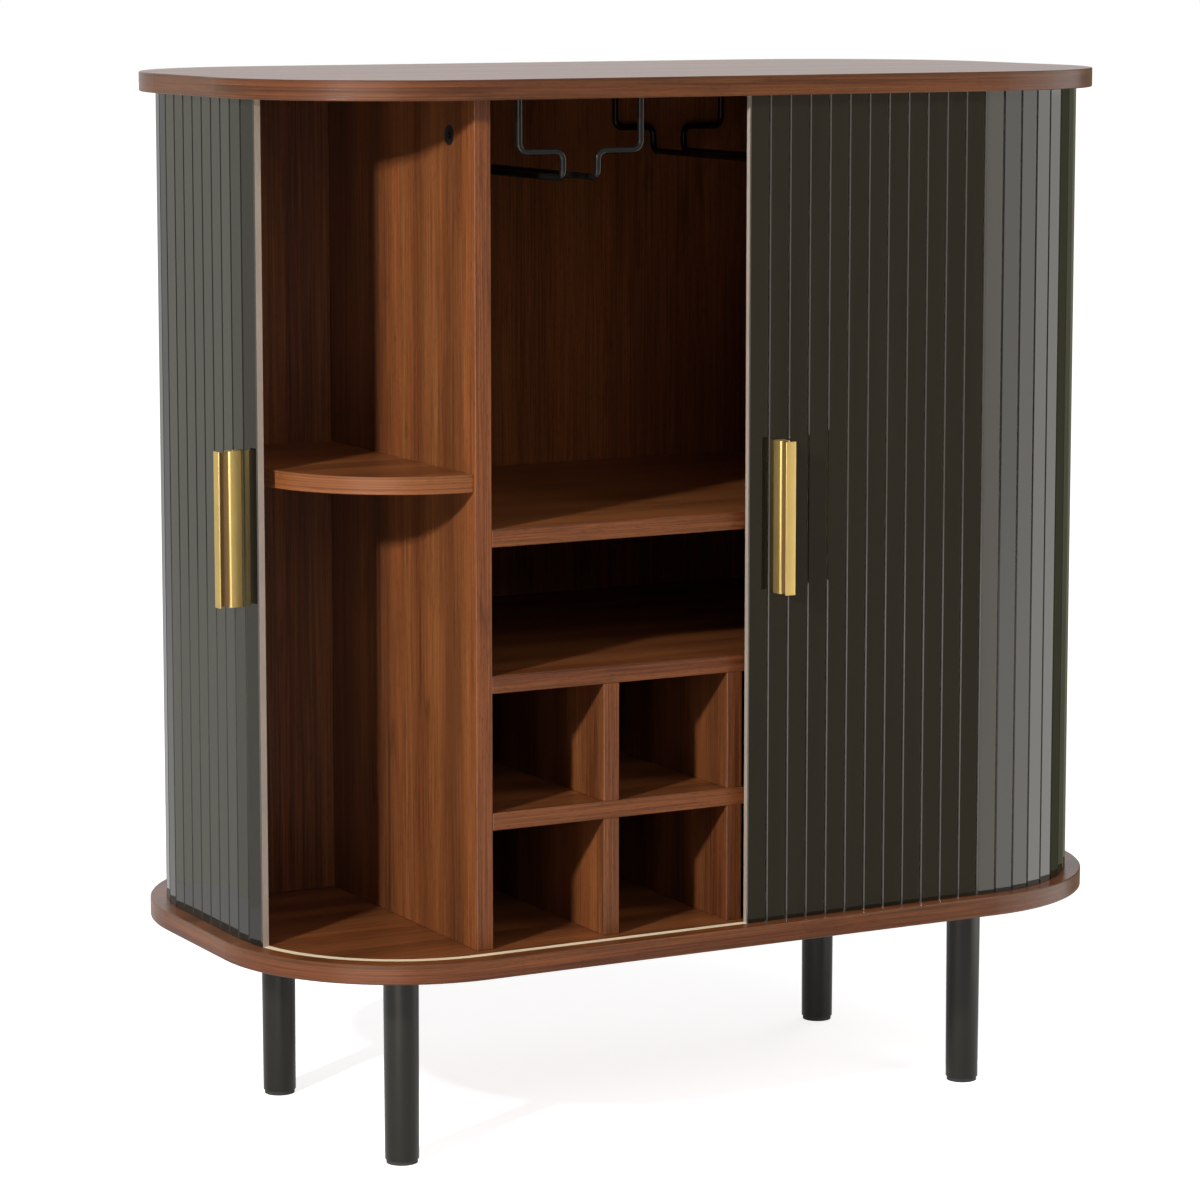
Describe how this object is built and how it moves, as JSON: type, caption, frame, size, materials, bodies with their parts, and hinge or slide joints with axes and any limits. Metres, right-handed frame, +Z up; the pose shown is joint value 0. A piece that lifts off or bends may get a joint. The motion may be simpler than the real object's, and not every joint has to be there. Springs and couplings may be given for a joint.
{
  "type": "bar cabinet",
  "caption": "Free-standing bar cabinet with rounded corners, sliding tambour doors, glass racks, shelves and bottle cubbies on round legs.",
  "frame": {"origin": "on the floor under the middle of the cabinet", "axes": "+X to the right seen from the front, +Y to the back, +Z up"},
  "size_m": [0.9072, 0.5075, 0.989],
  "materials": {
    "walnut": "satin lacquered walnut",
    "slat_gloss": "high gloss dark grey",
    "handle_brass": "satin",
    "leg_paint": "satin black",
    "wire_paint": "gloss black",
    "track": "matte cream",
    "cam_black": "matte black",
    "fastener_steel": "zinc plated",
    "pad_rubber": "matte"
  },
  "bodies": {
    "cabinet": {"base_board": "walnut", "top_board": "walnut", "lower_track": "track", "upper_track": "track", "leg_front_left": "leg_paint", "leg_front_right": "leg_paint", "leg_back_left": "leg_paint", "leg_back_right": "leg_paint", "foot_pads": "pad_rubber", "leg_bolts": "fastener_steel", "divider_left": "walnut", "divider_right": "walnut", "back_panel": "walnut", "serving_shelf": "walnut", "bottle_shelf": "walnut", "cubby_shelf": "walnut", "cubby_upright_lower_left": "walnut", "cubby_upright_lower_middle": "walnut", "cubby_upright_lower_right": "walnut", "cubby_upright_upper_left": "walnut", "cubby_upright_upper_middle": "walnut", "cubby_upright_upper_right": "walnut", "side_back_left": "walnut", "side_back_right": "walnut", "cam_locks": "cam_black", "base_screws": "fastener_steel", "corner_shelf_left": "walnut", "corner_shelf_right": "walnut", "glass_wire_left_outer": "wire_paint", "glass_wire_left_inner": "wire_paint", "glass_wire_right_inner": "wire_paint", "glass_wire_right_outer": "wire_paint"},
    "right_slats_01_to_02": {"right_slats_01_to_02": "slat_gloss", "handle_right": "handle_brass", "handle_screws_right": "fastener_steel"},
    "right_slats_03_to_08": {"right_slats_03_to_08": "slat_gloss"},
    "right_slats_09_to_10": {"right_slats_09_to_10": "slat_gloss"},
    "right_slats_11_to_12": {"right_slats_11_to_12": "slat_gloss"},
    "right_slats_13_to_14": {"right_slats_13_to_14": "slat_gloss"},
    "right_door": {"right_slats_15_to_20": "slat_gloss"},
    "right_slats_21_to_22": {"right_slats_21_to_22": "slat_gloss"},
    "right_slats_23_to_24": {"right_slats_23_to_24": "slat_gloss"},
    "right_slats_25_to_26": {"right_slats_25_to_26": "slat_gloss"},
    "right_slats_27_to_30": {"right_slats_27_to_30": "slat_gloss"},
    "right_slats_31_to_32": {"right_slats_31_to_32": "slat_gloss"},
    "right_slats_33_to_33": {"right_slats_33_to_33": "slat_gloss"},
    "left_slats_01_to_02": {"left_slats_01_to_02": "slat_gloss", "handle_left": "handle_brass", "handle_screws_left": "fastener_steel"},
    "left_slats_03_to_08": {"left_slats_03_to_08": "slat_gloss"},
    "left_slats_09_to_10": {"left_slats_09_to_10": "slat_gloss"},
    "left_slats_11_to_12": {"left_slats_11_to_12": "slat_gloss"},
    "left_slats_13_to_14": {"left_slats_13_to_14": "slat_gloss"},
    "left_door": {"left_slats_15_to_20": "slat_gloss"},
    "left_slats_21_to_22": {"left_slats_21_to_22": "slat_gloss"},
    "left_slats_23_to_24": {"left_slats_23_to_24": "slat_gloss"},
    "left_slats_25_to_26": {"left_slats_25_to_26": "slat_gloss"},
    "left_slats_27_to_30": {"left_slats_27_to_30": "slat_gloss"},
    "left_slats_31_to_32": {"left_slats_31_to_32": "slat_gloss"},
    "left_slats_33_to_33": {"left_slats_33_to_33": "slat_gloss"}
  },
  "joints": [
    {"name": "right_door_slide_round", "type": "hinge", "parent": "cabinet", "child": "right_door", "pos_m": [0.22999, 0, 0.59], "axis": [0, 0, 1], "range_deg": [0, 120.49]},
    {"name": "right_slats_01_to_02_turn", "type": "hinge", "parent": "right_door", "child": "right_slats_01_to_02", "pos_m": [0.19395, -0.22315, 0.59], "axis": [0, 0, 1], "range_deg": [-37.15, 0.01]},
    {"name": "right_slats_03_to_08_turn", "type": "hinge", "parent": "right_door", "child": "right_slats_03_to_08", "pos_m": [0.22609, -0.23109, 0.59], "axis": [0, 0, 1], "range_deg": [-30.5, 0.01]},
    {"name": "right_slats_09_to_10_turn", "type": "hinge", "parent": "right_door", "child": "right_slats_09_to_10", "pos_m": [0.23417, -0.2326, 0.59], "axis": [0, 0, 1], "range_deg": [-26.6, 0.01]},
    {"name": "right_slats_11_to_12_turn", "type": "hinge", "parent": "right_door", "child": "right_slats_11_to_12", "pos_m": [0.25822, -0.23502, 0.59], "axis": [0, 0, 1], "range_deg": [-12.48, 0.01]},
    {"name": "right_slats_13_to_14_turn", "type": "hinge", "parent": "right_door", "child": "right_slats_13_to_14", "pos_m": [0.29735, -0.23433, 0.59], "axis": [0, 0, 1], "range_deg": [-0.9103, 0.01]},
    {"name": "right_slats_21_to_22_turn", "type": "hinge", "parent": "right_door", "child": "right_slats_21_to_22", "pos_m": [0.4035, -0.16873, 0.59], "axis": [0, 0, 1], "range_deg": [-2.55, 0.01]},
    {"name": "right_slats_23_to_24_turn", "type": "hinge", "parent": "right_door", "child": "right_slats_23_to_24", "pos_m": [0.42105, -0.13788, 0.59], "axis": [0, 0, 1], "range_deg": [-15.96, 0.01]},
    {"name": "right_slats_25_to_26_turn", "type": "hinge", "parent": "right_door", "child": "right_slats_25_to_26", "pos_m": [0.42974, -0.11777, 0.59], "axis": [0, 0, 1], "range_deg": [-28.73, 0.01]},
    {"name": "right_slats_27_to_30_turn", "type": "hinge", "parent": "right_door", "child": "right_slats_27_to_30", "pos_m": [0.43109, -0.11391, 0.59], "axis": [0, 0, 1], "range_deg": [-30.5, 0.01]},
    {"name": "right_slats_31_to_32_turn", "type": "hinge", "parent": "right_door", "child": "right_slats_31_to_32", "pos_m": [0.43146, -0.11266, 0.59], "axis": [0, 0, 1], "range_deg": [-30.77, 0.01]},
    {"name": "right_slats_33_to_33_turn", "type": "hinge", "parent": "right_door", "child": "right_slats_33_to_33", "pos_m": [0.44063, -0.08152, 0.59], "axis": [0, 0, 1], "range_deg": [-36.95, 0.01]},
    {"name": "left_door_slide_round", "type": "hinge", "parent": "cabinet", "child": "left_door", "pos_m": [-0.22999, 0, 0.59], "axis": [0, 0, 1], "range_deg": [0, 120.49]},
    {"name": "left_slats_01_to_02_turn", "type": "hinge", "parent": "left_door", "child": "left_slats_01_to_02", "pos_m": [-0.44056, 0.08219, 0.59], "axis": [0, 0, 1], "range_deg": [-37.15, 0.01]},
    {"name": "left_slats_03_to_08_turn", "type": "hinge", "parent": "left_door", "child": "left_slats_03_to_08", "pos_m": [-0.43109, 0.11391, 0.59], "axis": [0, 0, 1], "range_deg": [-30.5, 0.01]},
    {"name": "left_slats_09_to_10_turn", "type": "hinge", "parent": "left_door", "child": "left_slats_09_to_10", "pos_m": [-0.42829, 0.12164, 0.59], "axis": [0, 0, 1], "range_deg": [-26.6, 0.01]},
    {"name": "left_slats_11_to_12_turn", "type": "hinge", "parent": "left_door", "child": "left_slats_11_to_12", "pos_m": [-0.41817, 0.14359, 0.59], "axis": [0, 0, 1], "range_deg": [-12.48, 0.01]},
    {"name": "left_slats_13_to_14_turn", "type": "hinge", "parent": "left_door", "child": "left_slats_13_to_14", "pos_m": [-0.39772, 0.17696, 0.59], "axis": [0, 0, 1], "range_deg": [-0.9103, 0.01]},
    {"name": "left_slats_21_to_22_turn", "type": "hinge", "parent": "left_door", "child": "left_slats_21_to_22", "pos_m": [-0.28733, 0.23513, 0.59], "axis": [0, 0, 1], "range_deg": [-2.55, 0.01]},
    {"name": "left_slats_23_to_24_turn", "type": "hinge", "parent": "left_door", "child": "left_slats_23_to_24", "pos_m": [-0.25184, 0.23461, 0.59], "axis": [0, 0, 1], "range_deg": [-15.96, 0.01]},
    {"name": "left_slats_25_to_26_turn", "type": "hinge", "parent": "left_door", "child": "left_slats_25_to_26", "pos_m": [-0.2301, 0.23189, 0.59], "axis": [0, 0, 1], "range_deg": [-28.73, 0.01]},
    {"name": "left_slats_27_to_30_turn", "type": "hinge", "parent": "left_door", "child": "left_slats_27_to_30", "pos_m": [-0.22609, 0.23109, 0.59], "axis": [0, 0, 1], "range_deg": [-30.5, 0.01]},
    {"name": "left_slats_31_to_32_turn", "type": "hinge", "parent": "left_door", "child": "left_slats_31_to_32", "pos_m": [-0.22482, 0.23078, 0.59], "axis": [0, 0, 1], "range_deg": [-30.77, 0.01]},
    {"name": "left_slats_33_to_33_turn", "type": "hinge", "parent": "left_door", "child": "left_slats_33_to_33", "pos_m": [-0.19334, 0.22288, 0.59], "axis": [0, 0, 1], "range_deg": [-36.95, 0.01]}
  ],
  "couplings": [
    {"joint": "right_slats_01_to_02_turn", "follows": "right_door_slide_round", "ratio": -0.30821},
    {"joint": "right_slats_03_to_08_turn", "follows": "right_door_slide_round", "ratio": -0.25308},
    {"joint": "right_slats_09_to_10_turn", "follows": "right_door_slide_round", "ratio": -0.22066},
    {"joint": "right_slats_11_to_12_turn", "follows": "right_door_slide_round", "ratio": -0.10346},
    {"joint": "right_slats_13_to_14_turn", "follows": "right_door_slide_round", "ratio": -0.0074719},
    {"joint": "right_slats_21_to_22_turn", "follows": "right_door_slide_round", "ratio": -0.02106},
    {"joint": "right_slats_23_to_24_turn", "follows": "right_door_slide_round", "ratio": -0.13238},
    {"joint": "right_slats_25_to_26_turn", "follows": "right_door_slide_round", "ratio": -0.23834},
    {"joint": "right_slats_27_to_30_turn", "follows": "right_door_slide_round", "ratio": -0.25308},
    {"joint": "right_slats_31_to_32_turn", "follows": "right_door_slide_round", "ratio": -0.25527},
    {"joint": "right_slats_33_to_33_turn", "follows": "right_door_slide_round", "ratio": -0.30659},
    {"joint": "left_slats_01_to_02_turn", "follows": "left_door_slide_round", "ratio": -0.30821},
    {"joint": "left_slats_03_to_08_turn", "follows": "left_door_slide_round", "ratio": -0.25308},
    {"joint": "left_slats_09_to_10_turn", "follows": "left_door_slide_round", "ratio": -0.22066},
    {"joint": "left_slats_11_to_12_turn", "follows": "left_door_slide_round", "ratio": -0.10346},
    {"joint": "left_slats_13_to_14_turn", "follows": "left_door_slide_round", "ratio": -0.0074719},
    {"joint": "left_slats_21_to_22_turn", "follows": "left_door_slide_round", "ratio": -0.02106},
    {"joint": "left_slats_23_to_24_turn", "follows": "left_door_slide_round", "ratio": -0.13238},
    {"joint": "left_slats_25_to_26_turn", "follows": "left_door_slide_round", "ratio": -0.23834},
    {"joint": "left_slats_27_to_30_turn", "follows": "left_door_slide_round", "ratio": -0.25308},
    {"joint": "left_slats_31_to_32_turn", "follows": "left_door_slide_round", "ratio": -0.25527},
    {"joint": "left_slats_33_to_33_turn", "follows": "left_door_slide_round", "ratio": -0.30659}
  ]
}
